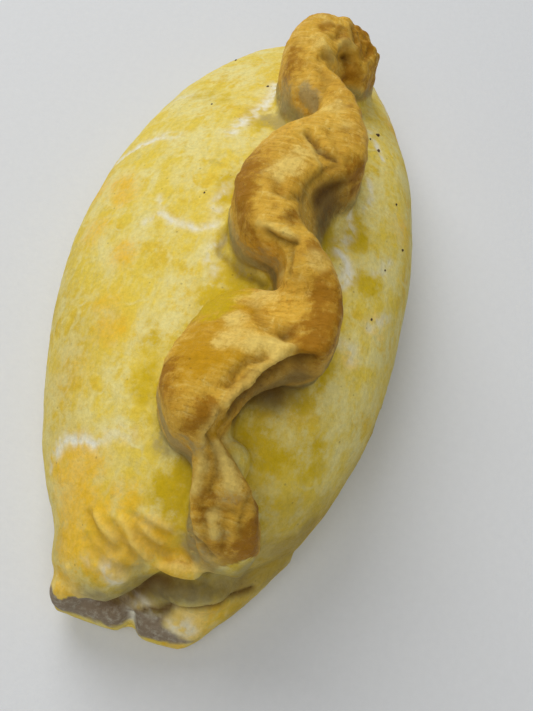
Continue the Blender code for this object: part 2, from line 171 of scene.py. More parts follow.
# Wrinkles and folds: the points each one runs through, its width, its depth and how brown it is.
# The brown is partly the folds' own browning and partly painted shade in the creases.
WRINKLES = [
    # The short diagonal wrinkles over the swelling at the near end.
    ([(-74, 9.5, 29.5), (-76, 8, 29.5), (-77.5, 6, 29.5), (-78.5, 4.5, 29.5),
      (-79, 2.5, 29.5)], 1.2, 0.7, 0.30),
    ([(-74.5, 5, 30.5), (-75.7, 4, 31), (-77, 2, 30.5), (-78.5, -0.5, 29.5),
      (-79, -3, 27.5)], 1.0, 0.7, 0.35),
    ([(-74.5, 0, 31.5), (-75.5, -2, 31), (-76, -5, 29), (-76.5, -7, 28)], 1.0, 0.6, 0.30),
    ([(-81, 5, 28), (-81.5, 3, 28), (-81, -0.5, 26.5), (-80, -3, 26)], 1.1, 0.6, 0.40),
    ([(-72.5, 0.5, 33), (-73, -3, 32), (-73, -6, 31.5)], 0.9, 0.4, 0.20),
    ([(-77.5, 9.5, 28.5), (-79.5, 7, 28.5), (-80, 5, 28.5)], 1.0, 0.4, 0.25),
    # The fan of folds behind the sharp lip.
    ([(-53, -11, 61), (-50, -11.5, 61.5), (-47.5, -13, 61.5), (-45.5, -15, 61)], 0.9, 0.9, 0.55),
    ([(-54, -12.5, 60), (-51, -13, 61), (-48.5, -14.5, 61.5)], 0.7, 0.7, 0.5),
    ([(-31, -9, 56), (-35, -11, 58.5), (-38, -13, 60), (-40, -15, 61)], 1.2, 0.6, 0.35),
    ([(-39.5, -17.5, 60.5)], 1.7, 1.4, 1.0),
    ([(-42.5, -19.5, 60), (-42.3, -21, 60.5), (-42, -23, 60.5)], 0.8, 0.8, 0.9),
    # Painted shade under the sharp lip, and in the hollow where its wall meets the back.
    ([(-42, -22.5, 58), (-44.5, -19, 57), (-47.5, -16.5, 56), (-51, -14, 55),
      (-54, -12.2, 54.5)], 2.0, 0.3, 0.9),
    ([(-43.5, -18.5, 43), (-45.5, -16.5, 43.5), (-47.5, -14, 44.5), (-50, -12, 45)], 3.0, 0.2, 1.0),
    # The grooves and puckers of the last lobe.
    ([(-60, -10.3, 56), (-62.5, -12, 52.5), (-65, -12.8, 50), (-67.5, -13, 48.5)], 0.9, 0.8, 0.6),
    ([(-63, -10, 52), (-65.5, -11, 50), (-68, -11.5, 48.5), (-70.5, -12, 46)], 0.8, 0.4, 0.3),
    ([(-70, -10.8, 46.5), (-70.5, -13, 46), (-70.2, -15.5, 46), (-69.5, -17.5, 46)], 0.8, 0.6, 0.45),
    ([(-70.5, -13, 46), (-72.5, -13, 44), (-74.5, -13.5, 40)], 0.8, 0.6, 0.4),
    ([(-70.5, -16.2, 45.5), (-72.5, -16.6, 43.5), (-74.5, -17.2, 39)], 0.8, 0.5, 0.4),
    ([(-66, -19, 47), (-69, -19.5, 45.5), (-72, -19.8, 42.5)], 0.8, 0.4, 0.5),
    ([(-74, -12, 39), (-75, -14, 37.5), (-75.6, -16, 35)], 0.9, 0.5, 0.6),
    # Pits and folds along the top of the first bends.
    ([(49, -11.5, 46)], 1.9, 1.2, 1.0),
    ([(41, -7, 51.5), (41, -8.3, 51)], 1.3, 0.9, 0.8),
    ([(38.6, -6, 52)], 0.9, 0.5, 0.4),
    ([(46.5, -11.5, 48.5), (44, -10.5, 51), (42.5, -8.5, 52)], 0.8, 0.5, 0.5),
    ([(35, -6.5, 52.5), (31.5, -9.5, 53.5), (28.5, -9.3, 53)], 1.2, 0.8, 0.35),
    ([(27, -8, 51)], 2.2, 0.6, 0.2),
    ([(54, -8, 50), (51, -8, 50.5), (48.5, -7, 51)], 1.0, 0.8, 0.5),
    ([(57, -11, 48.5), (54.5, -12, 48), (52, -12, 48)], 0.9, 0.8, 0.5),
    ([(9.5, -9.5, 58.7), (7.5, -11.5, 59), (5, -13, 59.3), (4, -15, 59.6), (3, -17, 59.5)], 0.8, 1.1, 1.0),
    ([(2.5, -17.5, 59), (1, -15.7, 59), (-2.5, -14.2, 60), (-5.5, -13.2, 60),
      (-8, -13, 59.5)], 1.1, 0.5, 0.6),
    ([(12.5, -14, 59), (8, -15.5, 60), (5, -17.5, 60), (4, -19.5, 59)], 1.2, 0.6, 0.25),
    ([(-11, -8.5, 63), (-11.5, -10.5, 63), (-9.5, -12.7, 60.5)], 0.8, 0.6, 0.5),
    ([(-8, -6, 62.5), (-9.5, -8.5, 63)], 0.8, 0.3, 0.25),
    ([(-16.5, -12.3, 63.5)], 1.3, 0.5, 0.55),
    ([(-21, -9, 62.5), (-21.7, -11.5, 63), (-22.5, -14.5, 64)], 0.8, 0.9, 0.75),
    ([(-22.5, -13.3, 63.5), (-24.5, -14.3, 63), (-27, -14.8, 61)], 0.8, 0.6, 0.5),
    # Painted shade in the hollow beside the second bend, and in the grooves where the walls meet the back.
    ([(2.5, -17, 55), (0, -16, 55), (-3, -15.5, 54)], 2.6, 0.4, 1.0),
    ([(1, -18.5, 50), (-4, -17.5, 48)], 4.5, 0.0, 0.6),
    ([(-9, 2.8, 44.5), (-14, 2.3, 44.5), (-18, -0.5, 45), (-20.3, -4.5, 45),
      (-21, -9, 45.5)], 0.9, 0.5, 0.6),
    ([(-49, 6, 41), (-53, 4.5, 41), (-56, 2.5, 40.5), (-58.5, 0, 40.5), (-60.5, -3, 40),
      (-62, -6, 39.5)], 1.0, 0.5, 0.7),
    # The creases where the near end was pressed together, darkened with painted shade.
    ([(-86, 3, 13.5), (-85, 0.5, 13), (-83.5, -1, 13.5), (-82, -3, 15), (-80.7, -4.7, 17.5),
      (-79.3, -7, 18.5)],
     2.0, 0.5, 1.0),
    ([(-79, -8, 20), (-78.3, -11, 21), (-77.5, -14.5, 21.5), (-76.5, -18, 22),
      (-75.5, -20.5, 24)], 2.4, 0.2, 0.75),
    ([(-85.5, -5, 13), (-84.5, -7.5, 13), (-83.5, -11.5, 14.5), (-82.3, -15.5, 15.5), (-80, -19.5, 14.5),
      (-77, -23, 12.5), (-74.5, -25.5, 12)], 0.7, 1.0, 1.0),
]
# Raised edges, paler than the dough beside them, partly as painted highlight: path, width, height.
WELTS = [
    ([(-42.3, -18.7, 61.5), (-44.5, -17.8, 61.5), (-48.5, -15.7, 61.5), (-52, -13.8, 61.5),
      (-55.5, -11.8, 61)], 1.0, 0.9),
    ([(-44.5, -10.5, 61), (-43.5, -12.5, 61.5), (-42.7, -15.5, 61.5), (-42.3, -18.5, 61.5)], 1.2, 0.5),
    ([(8.5, -9, 59.2), (6, -10.8, 59.8), (3.7, -12.8, 60.2), (2.2, -14.8, 60)], 0.8, 0.6),
    ([(-19.5, -7, 63), (-20, -9.5, 63.5), (-20.5, -12, 64), (-21, -14, 64)], 0.8, 0.5),
    ([(47, -9, 50), (49.5, -9.5, 49.5), (51, -12, 48)], 1.0, 0.6),
    ([(43, -6.5, 52), (42.8, -8, 52), (41, -9.3, 52)], 0.8, 0.6),
    ([(-57.5, -9.3, 60), (-59.3, -9.5, 59), (-60.7, -9.4, 57), (-61.5, -10, 54.5)], 0.8, 0.7),
    ([(-61.7, -12.5, 52.5), (-63.5, -14.5, 51), (-65.5, -16, 49.5)], 1.1, 0.5),
    ([(-62.8, -9, 52), (-65, -9.7, 50.5), (-68, -10, 48)], 0.9, 0.4),
    ([(-73.5, 8.4, 30.5), (-75, 7, 31), (-76, 5.5, 31), (-77, 4.4, 30.5)], 0.9, 0.9),
    ([(-73.8, 3.2, 32.2), (-75, 1.6, 31.8), (-75.8, 0.4, 31.5)], 0.8, 0.7),
    ([(-76.8, 0.7, 31), (-77.5, -1, 30.2), (-78, -3.5, 28.8)], 0.9, 0.9),
    ([(-74.2, -1.8, 31.8), (-75, -3.5, 31), (-75.4, -5, 30.3)], 0.8, 0.6),
    ([(-71.8, -2, 33.3), (-72, -4, 32.8), (-72.3, -6, 32.4)], 0.8, 0.5),
    ([(-82, 3.7, 27.3), (-82.5, 2, 26.8), (-82.6, 0, 25)], 1.1, 1.0),
    ([(-83.5, 11, 22.5), (-86, 9.7, 20), (-87.3, 8.5, 16)], 0.9, 0.5),
    ([(-79, -6.3, 27.2), (-77.7, -8, 27.8), (-76.8, -10, 28)], 0.8, 0.4),
    ([(-70.8, -14.3, 46), (-72.3, -14.6, 44.5), (-73.5, -15, 42.5)], 0.9, 0.5),
]
# Cracks in the glaze and torn edges that show pale flour: path, width, strength.
CRACKS = [
    ([(-85, 1, 13), (-85.5, -1, 12.5), (-86.5, -2, 10.5)], 1.0, 1.0),
    ([(-85.5, -2.5, 12.5), (-84, -3.5, 13), (-85.5, -5.5, 13)], 1.1, 1.0),
    ([(-82, 3.5, 27.3), (-83, 2, 26), (-83.3, 1, 25)], 1.5, 0.7),
    ([(-86, -11.5, 12.5), (-86.7, -14.5, 11.5)], 2.2, 0.8),
    ([(-82.5, 6, 26), (-81, 8, 26.5)], 1.2, 0.3),
    ([(-83.6, -1.8, 14), (-84.2, -2.8, 13.5), (-85.3, -4.5, 13), (-86, -6, 13), (-86, -8, 13)], 0.8, 1.0),
    ([(-86, -0.5, 12), (-86.7, -1.7, 10), (-87.3, -2.5, 8)], 0.9, 0.9),
    ([(-86, -8, 13), (-86.8, -9.5, 12.3), (-87.5, -11.2, 11.5)], 0.5, 0.8),
    ([(-62.5, 22, 26.5), (-60.5, 21.5, 28), (-60, 19, 30), (-60, 16, 32.3), (-60, 13, 33.7)], 1.5, 1.0),
    ([(-60, 12.5, 34), (-58.5, 10, 35.5), (-57.5, 7, 36.5)], 2.2, 0.35),
    ([(-66, 22.5, 23.5), (-63.5, 23, 24.5), (-62, 22, 26.5)], 1.0, 0.7),
    ([(14.5, 37.5, 25.5), (16.5, 35, 28), (18.5, 32.5, 30), (20, 29.5, 31.5), (20.5, 26, 33.5),
      (20.5, 24, 34.5)], 1.5, 1.0),
    ([(-9.5, 21, 38.5), (-8, 19.5, 39), (-6.5, 18, 39.7), (-8.5, 15, 40.5), (-9.5, 11.5, 41.5),
      (-9.5, 8.5, 42),
      (-8.5, 5.5, 43)], 1.0, 0.9),
    ([(-6.5, 18, 39.5), (-4, 19.5, 39), (-1.5, 20.5, 38.5)], 1.0, 0.5),
    ([(-8.5, 5.5, 43), (-5.5, 5, 43), (-2.5, 7, 42.5), (3, 6, 42)], 1.3, 0.6),
    ([(-12.5, 2.5, 44), (-15, 3.8, 43.5), (-18, 3.5, 43), (-20.5, 1.5, 43.5)], 1.2, 0.6),
    ([(22, 10, 39), (25.5, 9, 38.5), (30.5, 7.5, 37), (36, 6, 35.5), (41, 5, 34.5), (49, 6, 32)], 1.8, 1.0),
    ([(3.5, -23.5, 44), (0, -24, 43.7), (-4, -23.8, 43.7)], 1.2, 0.8),
    ([(-6, -23.3, 44), (-9, -24.7, 43.7), (-11, -26.3, 43.5), (-14, -25.5, 43.7)], 1.9, 1.0),
    ([(17.5, -25, 40.3), (13.5, -26.5, 40.5), (8, -26, 42)], 0.8, 0.7),
    ([(38, -22, 34.5), (34, -24.5, 36), (28, -27, 37)], 0.8, 0.9),
    ([(70, -20, 17), (65, -23, 21), (54, -26.5, 25)], 0.8, 0.7),
    ([(-15.5, -37, 37.5), (-20, -34.5, 39.7), (-22, -33.5, 40.3)], 1.3, 0.6),
    ([(-28, -29.5, 42), (-28.5, -31, 41.5), (-31, -31.5, 41)], 1.6, 0.45),
    ([(-2, -35, 38.5), (-5.5, -33.5, 40), (-8, -32, 41)], 1.0, 0.6),
    ([(58, 40, 5), (50, 34, 20), (41, 31.5, 24), (41.5, 27, 26.5)], 1.2, 0.5),
    ([(-61.5, -20.5, 40), (-63, -21, 38)], 1.4, 0.6),
]
# The flour in the cracks: how deep it lies, how much of them it covers, and the size and strength of its gaps
# and of its grain.
FLOUR_DEPTH, FLOUR_COVER = 0.25, 0.65
FLOUR_GAP_SIZE, FLOUR_GAPS, FLOUR_GRAIN = 2.2, 1.1, 0.9
# Patches of colour on the skin: for each kind, the x, y and z, reach and strength of each patch.
PATCHES = {
    # Soaked yellow by the glaze.
    "stain": [
        (-34, -3, 53.5, 4.5, 1.0), (-30.5, -3.5, 52, 4.5, 1.0), (-26, 0.5, 43, 3.5, 1.0),
        (-24, -4, 44, 3.5, 1.0), (-65, -5, 36, 5.5, 1.0), (-62, -5.5, 37, 3.5, 0.8),
        (-20.5, -1, 43.5, 4.0, 0.9), (-21, -3.5, 44, 4.0, 1.0), (-30.5, -3, 51.5, 5.5, 1.0),
        (-33.5, -2, 52.5, 4.5, 1.0), (-26, -3, 46, 4.0, 0.9), (-54, -18, 39.7, 4.5, 1.0),
        (-55, -19.7, 39, 4.5, 0.9), (-52, -17, 40, 3.0, 0.6), (28.5, 4, 38.5, 4.5, 1.0),
        (32.5, 6, 36.7, 4.0, 0.7), (5.5, 4.5, 42.5, 4.0, 0.9), (0, 4.5, 43, 3.5, 0.7),
        (-6.5, -21, 44.5, 3.0, 0.7), (-2.5, -26, 43.3, 3.5, 0.7), (2.5, -25, 43, 3.0, 0.6),
        (-12, -30, 42, 4.0, 0.9), (-10.5, -31.3, 41.5, 3.5, 0.7), (-37.5, -26, 43, 2.6, 0.8),
        (-42.5, -24, 42, 3.0, 0.8), (-34.5, -27.5, 42, 2.6, 0.5), (-45.5, 7.5, 39, 4.0, 0.55),
        (-49, 7, 38.5, 3.5, 0.5), (-39, 9, 40, 3.5, 0.5), (-34, 11, 40, 2.5, 0.4), (41, 23, 29, 5.0, 0.6),
        (38, 18, 31.5, 4.5, 0.5), (-52.5, -28.5, 37, 6.0, 0.5), (-63, -23.5, 33.5, 4.0, 0.5),
        (-11.5, 1.5, 52, 2.0, 0.5), (-12, 2.5, 44.3, 3.0, 0.8),
    ],
    # Baked golden.
    "baked": [
        (-66, 17.5, 29, 7.0, 0.7), (-71.5, 14, 28, 7.0, 0.8), (-74.5, 10.5, 29, 6.0, 0.7),
        (-78.5, 12, 25.5, 6.0, 0.9), (-78.5, -9, 27, 3.5, 1.0), (-78, 6, 29, 5.0, 0.8),
        (-76.5, 1, 30.5, 5.0, 0.9), (-75, -3.5, 31, 4.0, 0.8), (-82, 6, 26, 4.0, 0.5),
        (-84, -17, 13, 3.5, 0.6), (-82, -18.5, 13, 4.0, 0.6), (-65, 15, 30.7, 6.0, 0.8),
        (-68, 14.5, 29.5, 5.0, 0.8), (-64, 18.5, 28.7, 4.0, 0.6), (-74, 0, 32, 3.0, 0.9),
        (-78.5, 5, 29.5, 4.0, 1.0), (-80, 9, 27, 4.5, 0.8), (-73, 8.5, 30.5, 4.0, 0.9),
        (-76.5, 12.5, 26.5, 4.5, 0.8), (-79.5, 1, 29, 3.5, 0.9), (-76, -4, 30, 4.0, 0.8),
        (-70, 4, 33, 5.0, 0.5), (-86, 11.5, 18, 4.5, 0.7), (-84, 14, 12, 4.0, 0.6),
        (-71, 17, 25, 5.0, 0.5), (3, 32, 32, 4.5, 0.6), (4.5, 38, 26, 4.0, 0.5), (-1, 29, 34.5, 4.0, 0.6),
        (-36, 18.5, 37, 5.0, 0.6), (-31, 22, 35.5, 5.0, 0.4), (-11, 33, 31.5, 5.0, 0.5),
        (-18, 23, 37, 4.0, 0.6), (-47, 24, 31, 8.0, 0.3), (-78, -22, 10, 6.0, 0.4),
        (-84, -17, 10, 5.0, 0.5), (-90, -12.5, 6, 3.0, 0.6), (-45.5, -3.5, 58.7, 5.0, 1.0),
        (-47, -6.5, 60.7, 4.5, 1.0), (-45.5, -9, 61, 4.0, 0.8), (-49, -3.5, 60, 5.0, 1.0),
        (-35, -7, 56, 5.0, 0.6), (-40, -4, 57, 5.0, 0.7), (-42.2, -21, 61, 1.8, 0.9),
        (-57.5, -11, 54, 2.0, 0.8), (-77.5, -9, 27.5, 3.5, 0.8), (9.5, -36, 36, 4.5, 0.4),
        (70, -27.5, 11, 7.0, 0.8), (50, -30, 23, 6.0, 0.7), (60, -28, 18, 6.0, 0.8),
        (-86.5, -12, 11, 4.0, 0.3),
    ],
    # Browned most.
    "toast": [
        (-22.5, -17.5, 64.5, 4.0, 0.5), (-30, -22.8, 63, 4.0, 0.9), (-33, -24, 62, 4.0, 0.9),
        (-18, -4, 59.5, 4.0, 0.6), (-20, -5.5, 58, 3.5, 0.5), (-75, -17, 37.5, 3.5, 0.6),
        (-74.5, -19, 35.5, 3.0, 0.6), (-5.5, 0, 60, 4.5, 0.9), (-11, -0.5, 60.3, 4.5, 0.9),
        (-16.5, -2, 60, 4.0, 0.7), (0, 0.5, 59, 4.0, 0.7), (-14.5, -9.5, 63.5, 2.6, 0.35),
        (-10.5, -7.5, 63, 2.6, 0.35), (-16.5, -12.5, 63.5, 2.2, 0.8), (-36.5, -23.5, 62, 4.5, 0.9),
        (-40.5, -23.5, 61.5, 4.0, 1.0), (-32, -24, 62.5, 4.0, 0.8), (-41.5, -22.5, 57, 3.0, 0.5),
        (-38, -18.5, 60.5, 1.8, 0.8), (-29, -23, 63, 4.0, 0.5), (-52, 0.5, 59, 4.0, 0.6),
        (-55.5, 0, 59, 3.5, 0.5), (-58.5, -8.5, 61, 2.8, 0.8), (-59.5, -6.5, 59.5, 3.0, 0.8),
        (-60.5, -6, 58.5, 3.0, 0.6), (-69, -12.5, 47.5, 2.4, 0.6), (-71.5, -12.5, 45.5, 2.4, 0.6),
        (-61.5, -19.5, 37, 3.0, 0.5), (-65.5, -21, 43, 3.0, 0.7), (-70, -22, 42, 3.2, 0.8),
        (-72.5, -22, 39, 3.4, 1.0), (-73.5, -21.5, 36, 3.8, 1.0), (-75, -20.5, 33, 4.0, 1.0),
        (-76.5, -18.5, 31, 4.0, 1.0), (-76.5, -16, 31, 3.0, 0.7), (50, -10, 50, 1.6, 1.0),
        (51.7, -9, 50.5, 1.8, 0.6), (36, 0, 50, 4.5, 0.6), (41.5, 0.5, 50.5, 4.0, 0.5),
        (51.5, -5.5, 50.5, 4.0, 0.5), (55.5, -15, 46, 5.0, 0.8), (60, -12.5, 46, 4.5, 0.7),
        (54, -18.5, 38, 6.0, 0.5), (47, -13, 43.5, 3.0, 0.8), (4, -21.5, 57, 4.0, 0.7),
        (5, -23, 53, 4.0, 0.6), (13, -19, 57.5, 4.0, 0.4), (23, -14.5, 57, 3.5, 0.5),
        (-26, -17, 63.5, 4.0, 0.3), (-1, -13.7, 60.5, 2.0, 0.5),
    ],
    # Left pale and creamy, partly as painted highlight where the crust catches the light.
    "cream_and_highlight": [
        (-1, -8.7, 61.2, 3.0, 0.9), (-3, -7.5, 61.7, 3.0, 0.9), (-5.5, -6, 62, 3.0, 0.6),
        (2, -10, 60.7, 2.5, 0.7), (5, -12.3, 59.7, 1.2, 0.9), (-42, -8, 60, 3.5, 0.8),
        (-38, -7.5, 58.5, 3.0, 0.6), (-43.5, -12.5, 61.5, 2.5, 0.9), (-42.8, -16, 61.5, 2.2, 0.9),
        (-30, -11.5, 56, 3.5, 0.8), (-26, -12, 55, 3.0, 0.5), (-31, -7.5, 54.5, 2.5, 0.5),
        (-63, -13.5, 51.5, 2.2, 0.9), (-65, -15.5, 50, 2.2, 0.9), (-61.3, -12, 54, 1.6, 0.9),
        (-64.5, -9.8, 51, 1.8, 0.6), (-67.5, -10, 48.5, 1.6, 0.5), (-71, -14.5, 45.5, 1.6, 0.8),
        (-73.5, -15, 42.5, 1.6, 0.8), (22, -12, 55.8, 4.0, 0.5), (30, -14.5, 56, 3.0, 0.3),
        (16, -16, 58, 3.0, 0.4), (-20.7, -12.7, 64, 1.2, 0.8), (-25, -19, 64, 3.0, 0.4),
        (45, -3, 52, 4.0, 0.5), (55, -4, 50, 3.5, 0.4), (-86, -12.3, 12.7, 3.4, 1.0),
        (-85.3, -14.5, 12.3, 3.4, 1.0), (-87.5, -13.5, 10.5, 3.4, 0.9), (-85.5, -9.5, 12.8, 2.0, 0.9),
        (-85.5, -1, 12.8, 1.5, 1.0), (-85, -3, 12.8, 1.8, 1.0), (-85, -5.5, 13, 1.8, 0.9),
        (-86.5, 10, 18.5, 1.8, 0.8), (-82.3, 1.7, 27, 1.8, 1.0), (-77, -10, 28, 1.6, 0.9),
        (-77.3, -12, 28, 1.6, 0.7), (-20, -35, 39.5, 4.0, 0.5), (-31, -30.5, 41.3, 4.0, 0.4),
        (-62, -20.7, 38.5, 2.6, 0.7), (-60.5, -18.5, 41, 3.0, 0.5),
    ],
    # Greyish, where the dough was hardly baked.
    "grey": [
        (28.5, -5, 50, 2.8, 0.9), (27.5, -7, 50.5, 2.8, 1.0), (32, 0, 44, 4.5, 0.9),
        (29.5, -2, 43.5, 4.5, 0.9), (30.5, 1.5, 39, 4.5, 0.8), (-14, -0.5, 49, 4.5, 0.8),
        (-18, -4.5, 49, 5.0, 0.9), (-20, -8, 51, 5.0, 0.9), (-21, -10, 55, 4.0, 0.6),
        (-56.5, 1, 50, 4.5, 0.9), (-60, -2.5, 49, 4.5, 1.0), (-61.5, -5.5, 45, 5.0, 1.0),
        (-61.5, -7, 53, 3.0, 0.6), (-58, 0, 40, 4.0, 0.6), (-71.5, -11, 37.5, 4.0, 0.6),
        (-68, -9.5, 38, 3.5, 0.4), (-74.5, -12, 32, 4.0, 0.7), (-75.5, -14.5, 34, 3.5, 0.6),
        (-87, 6.5, 18, 3.5, 0.5), (-86, 5, 20, 3.5, 0.7), (-73, -16.3, 41.5, 1.8, 0.6),
        (-67.5, -16.5, 47.5, 3.0, 0.4), (-82.5, -8, 14.5, 4.0, 0.6),
    ],
    # Painted shade: darker, brownish grey in the hollows and under the overhangs.
    "painted_shade": [
        (-81.5, -3, 22, 3.0, 0.8), (-81.5, -5, 16, 3.5, 1.0), (-81.5, -7.5, 16, 3.5, 1.0),
        (-81, -10.5, 18, 3.5, 1.0), (-80.5, -13.5, 18.5, 3.5, 1.0), (-79, -16.5, 18, 3.5, 0.9),
        (-77.5, -19, 16.5, 3.5, 0.8), (-83, -3, 14.5, 2.5, 0.8), (-83.5, -7.5, 14, 2.5, 0.6),
        (-75, -21.5, 15, 4.0, 0.6), (-43.5, -19, 43.5, 4.0, 0.8), (-41.5, -22, 45, 4.0, 0.8),
        (-47, -15.5, 50, 4.0, 0.8), (-1.5, -17.5, 52, 4.0, 0.9), (-86, 4, 20.5, 3.5, 0.5),
        (-85, 0.5, 21, 3.5, 0.6), (-84, -1.5, 22, 3.0, 0.7), (-45, -18.5, 50, 3.5, 0.9),
        (-42.5, -21.5, 52, 4.0, 0.9), (-38, -24.5, 51, 4.5, 0.8), (-33, -27, 50, 4.0, 0.4),
        (-80, -9, 21, 3.0, 0.8), (-78.5, -12, 22, 3.5, 0.9), (-77.5, -16, 22, 3.5, 0.9),
        (-76.5, -20, 22, 3.5, 0.8), (-81, -12, 17, 4.0, 0.5), (-79, -17, 17, 4.0, 0.55),
        (-85.5, 2.5, 19, 3.2, 0.6), (-83.5, -0.8, 19.5, 3.2, 0.8), (-81.3, -3.5, 21, 3.0, 0.8),
        (-1, -18, 51, 3.5, 0.6), (-4, -17, 50, 3.5, 0.6), (-75, -22, 29, 3.0, 0.6),
        (-76.5, -17, 28.5, 3.0, 0.5), (-21, -11, 50, 3.0, 0.5), (-61, -5, 42, 2.5, 0.4),
    ],
    # Darker, browner yellow, most of it low on the flanks: partly browning, partly painted shade where the
    # flanks turn away from the light.
    "tan_and_shade": [
        (-70, -28, 14, 7.0, 1.0), (-60, -32.5, 25, 6.0, 0.6), (-66, -29, 22, 6.0, 1.0),
        (-62, -32, 23, 5.0, 1.0), (-68, -29, 15, 6.0, 1.0), (-58, -34, 26, 5.0, 0.6),
        (-40, 26, 31, 8.0, 0.25), (-44, 22.5, 33, 7.0, 0.15), (-48, 26, 29, 8.0, 0.25),
        (-30, 35, 26, 9.0, 0.2), (-56, 23.5, 28, 7.0, 0.2), (-20, 38, 24, 9.0, 0.15),
        (-64, -28, 30, 7.0, 0.5), (-69, -26, 24, 7.0, 0.8), (-73, -24.5, 14, 6.0, 0.9),
        (-66, -30, 18, 7.0, 0.8), (-58, -34, 20, 8.0, 0.6), (-48, -38, 20, 8.0, 0.5),
        (-36, -41, 19, 8.0, 0.45), (-20, -42, 18, 9.0, 0.4), (-4, -42, 18, 9.0, 0.35),
        (-76, -12, 31, 4.0, 0.5), (-74.5, -11, 32, 4.0, 0.4), (-79, -23, 8, 5.0, 0.6),
        (-87, 14, 8, 4.0, 0.6), (-83, 15.5, 10, 5.0, 0.5), (-76, 17, 13, 6.0, 0.4),
        (-78, 14, 20, 4.0, 0.4),
    ],
}
# How strong a patch is at its middle before it is cut off at 1, and how far a noise breaks up its edge.
PATCH_FILL, PATCH_BREAKUP = 1.3, 0.8
# Dark specks lying on the crust.
SPECKS = [
    ((80, 25, 12), 0.45), ((66, 21, 20), 0.4), ((47.5, 7.5, 31.5), 0.35), ((35.5, 19, 32.5), 0.3),
    ((38, -24, 34), 0.55), ((34.5, -23, 36), 0.3), ((31, -25.5, 36.5), 0.5), ((15.5, -33, 37.5), 0.3),
    ((3.5, -37, 36), 0.35), ((-19.5, -33.5, 40.3), 0.3), ((0.5, 10, 41.5), 0.25), ((-5.5, -34, 39.5), 0.25),
]
# Their stretch along X, Y and Z, then the size, strength and variety of their lumps.
SPECK_SHAPE = (1.2, 0.9, 0.6)
SPECK_GRAIN, SPECK_ROUGHNESS, SPECK_VARIETY = 0.35, 0.5, 7.3

# Colours, as the share of light reflected in each channel.

DOUGH_CREAM = (0.87, 0.75, 0.28, 1.0)
DOUGH_YELLOW = (0.85, 0.64, 0.08, 1.0)
DOUGH_GOLD = (0.80, 0.54, 0.035, 1.0)
DOUGH_OLIVE = (0.62, 0.51, 0.13, 1.0)
GLAZE_YELLOW = (0.68, 0.47, 0.004, 1.0)
FLOUR_WHITE = (0.90, 0.87, 0.70, 1.0)
BAKED_GOLD = (0.93, 0.52, 0.015, 1.0)
RIDGE_GOLD = (0.63, 0.32, 0.002, 1.0)
CRUST_PALE = (0.46, 0.38, 0.13, 1.0)
CRUST_GOLD = (0.84, 0.49, 0.055, 1.0)
CRUST_AMBER = (0.58, 0.28, 0.018, 1.0)
CRUST_BROWN = (0.40, 0.17, 0.006, 1.0)
# Also laid on as painted highlight on pale patches and raised edges.
CRUST_CREAM = (0.97, 0.70, 0.18, 1.0)
CRUST_GREY = (0.40, 0.34, 0.18, 1.0)
# Painted shade for the hollows and undersides.
PAINTED_SHADE_BROWN = (0.19, 0.14, 0.06, 1.0)
# Browning, and painted shade low on the flanks.
TAN_AND_SHADE_BROWN = (0.38, 0.25, 0.03, 1.0)
# Brown of folds, specks and flecks; in the creases it also serves as painted shade.
FOLD_BROWN = (0.12, 0.052, 0.005, 1.0)
# The cut face: raw dough darkened in part with painted shade.
SHADED_CUT_GREY = (0.275, 0.205, 0.13, 1.0)
SPECK_DARK = (0.05, 0.035, 0.02, 1.0)
FLOOR_PALE = (0.76, 0.77, 0.78, 1.0)
CRUST_SHINE = 0.12
# Where a web of plain dough joins the pinch to the back, and from where to where it fades out round there.
WEB = (-58, -16, 43)
WEB_FADE = 5.0, 8.0
# The heights over the case between which dough comes to count as standing, then as crown, and the range
# along X over which standing begins.
STANDING_HEIGHT = 0.8, 3.0
CROWN_HEIGHT = 3.0, 11.0
STANDING_FROM = -79.0, -74.0
# The seam's foot is where its standing lies between these. The glaze pools beside it, this far out.
FOOT_LOW, FOOT_HIGH = 0.3, 0.9
GLAZE_REACH = 3.5
GLAZE_FROM = -78.0, -72.0
# The cut face of the tongue: where it begins along X, how far it faces the near end, its lower edge, its top,
# and its slanting right edge, which passes this far right of the middle at the corner's height.
CUT_FROM = -84.5, -86.5
CUT_FACING = 0.0, -0.3
CUT_BOTTOM = 7.2, 8.6
CUT_TOP = 16
CUT_RIGHT, CUT_SLANT, CUT_CORNER = 9.0, 1.6, 13.0
CUT_SOFTNESS = 1.0

# The light: the sky's strength, then each large soft lamp's place, width and power.
SKY = 0.17
SKY_COLOUR = (0.95, 0.98, 1.0, 1.0)
LAMPS_AIM = (0.0, 0.0, 0.02)
LAMPS = {
    "window": ((0.62, 0.50, 0.78), 0.9, 7.4),
    "ceiling": ((-0.45, 0.00, 0.95), 1.0, 4.2),
}

# The camera looks down over the near end and is rolled a little. Its place is in the dough's own frame.
CAMERA_PLACE = (-105.25, -21.57, 180.0)
CAMERA_TILT, CAMERA_ROLL, CAMERA_HEADING = math.radians(27.0), math.radians(11.0), math.radians(5.8)
CAMERA_LENS = 38.48
SENSOR = 36.0
# The floor, in metres: its width, and the gap that keeps it clear of the base.
FLOOR_WIDTH, FLOOR_GAP = 3.0, 0.0001


def smooth_curve(stations, x):
    """Values at x of the cubic curve through the stations, with the slopes that their neighbours give."""
    knots = np.array([station[0] for station in stations], float)
    values = np.array([station[1:] for station in stations], float)
    slopes = np.gradient(values, knots, axis=0)
    i = np.clip(np.searchsorted(knots, x) - 1, 0, len(knots) - 2)
    span = (knots[i + 1] - knots[i])[:, None]
    t = np.clip((x - knots[i])[:, None] / span, 0, 1)
    curve = (
        values[i] * (1 + 2 * t) * (1 - t) ** 2
        + values[i + 1] * (3 - 2 * t) * t**2
        + span * (slopes[i] * t * (1 - t) ** 2 - slopes[i + 1] * t**2 * (1 - t))
    )
    return curve[:, 0] if curve.shape[1] == 1 else curve


def signed_power(base, exponent):
    return np.sign(base) * np.abs(base) ** exponent


